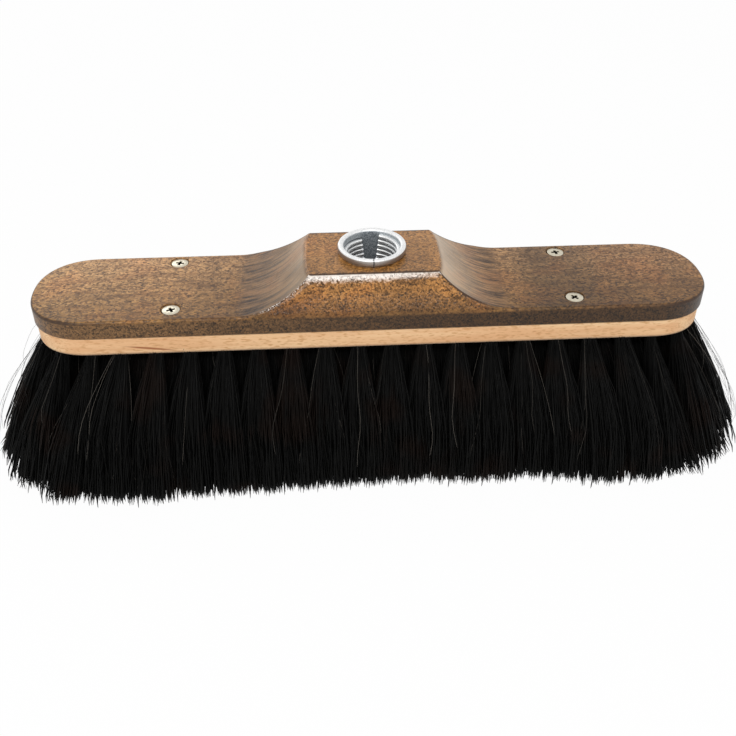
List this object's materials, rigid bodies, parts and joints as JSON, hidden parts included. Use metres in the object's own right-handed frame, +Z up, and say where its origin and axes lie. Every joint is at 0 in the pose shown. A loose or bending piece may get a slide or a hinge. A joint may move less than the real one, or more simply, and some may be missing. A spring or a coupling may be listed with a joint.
{
  "type": "horsehair broom head",
  "caption": "Saddle-shaped wooden broom head with a threaded steel handle socket, a screwed-on bristle board and black horsehair tufts.",
  "frame": {"origin": "middle of the footprint, on the plane that the bristle tips stand on", "axes": "+X along the broom, +Y away from the sweeper, +Z up, along the handle socket and out of its mouth"},
  "size_m": [0.3596, 0.0998, 0.0957],
  "materials": {
    "stained_beech": "dark walnut stain, satin, open flecked grain",
    "natural_beech": "untreated, planed, fine flecks",
    "galvanised_steel": "galvanised sheet, satin",
    "zinc_plated_steel": "zinc plated, satin",
    "horsehair": "black horsehair with a dull sheen"
  },
  "bodies": {
    "root": {"cover_block": "stained_beech", "bristle_board": "natural_beech", "handle_socket": "galvanised_steel", "cover_screw_1": "zinc_plated_steel", "cover_screw_2": "zinc_plated_steel", "cover_screw_3": "zinc_plated_steel", "cover_screw_4": "zinc_plated_steel", "tuft_rank_01": "horsehair", "tuft_rank_02": "horsehair", "tuft_rank_03": "horsehair", "tuft_rank_04": "horsehair", "tuft_rank_05": "horsehair", "tuft_rank_06": "horsehair", "tuft_rank_07": "horsehair", "tuft_rank_08": "horsehair", "tuft_rank_09": "horsehair", "tuft_rank_10": "horsehair", "tuft_rank_11": "horsehair", "tuft_rank_12": "horsehair", "tuft_rank_13": "horsehair", "tuft_rank_14": "horsehair", "tuft_rank_15": "horsehair", "tuft_rank_16": "horsehair", "tuft_fan_left": "horsehair", "tuft_fan_right": "horsehair"}
  },
  "joints": []
}
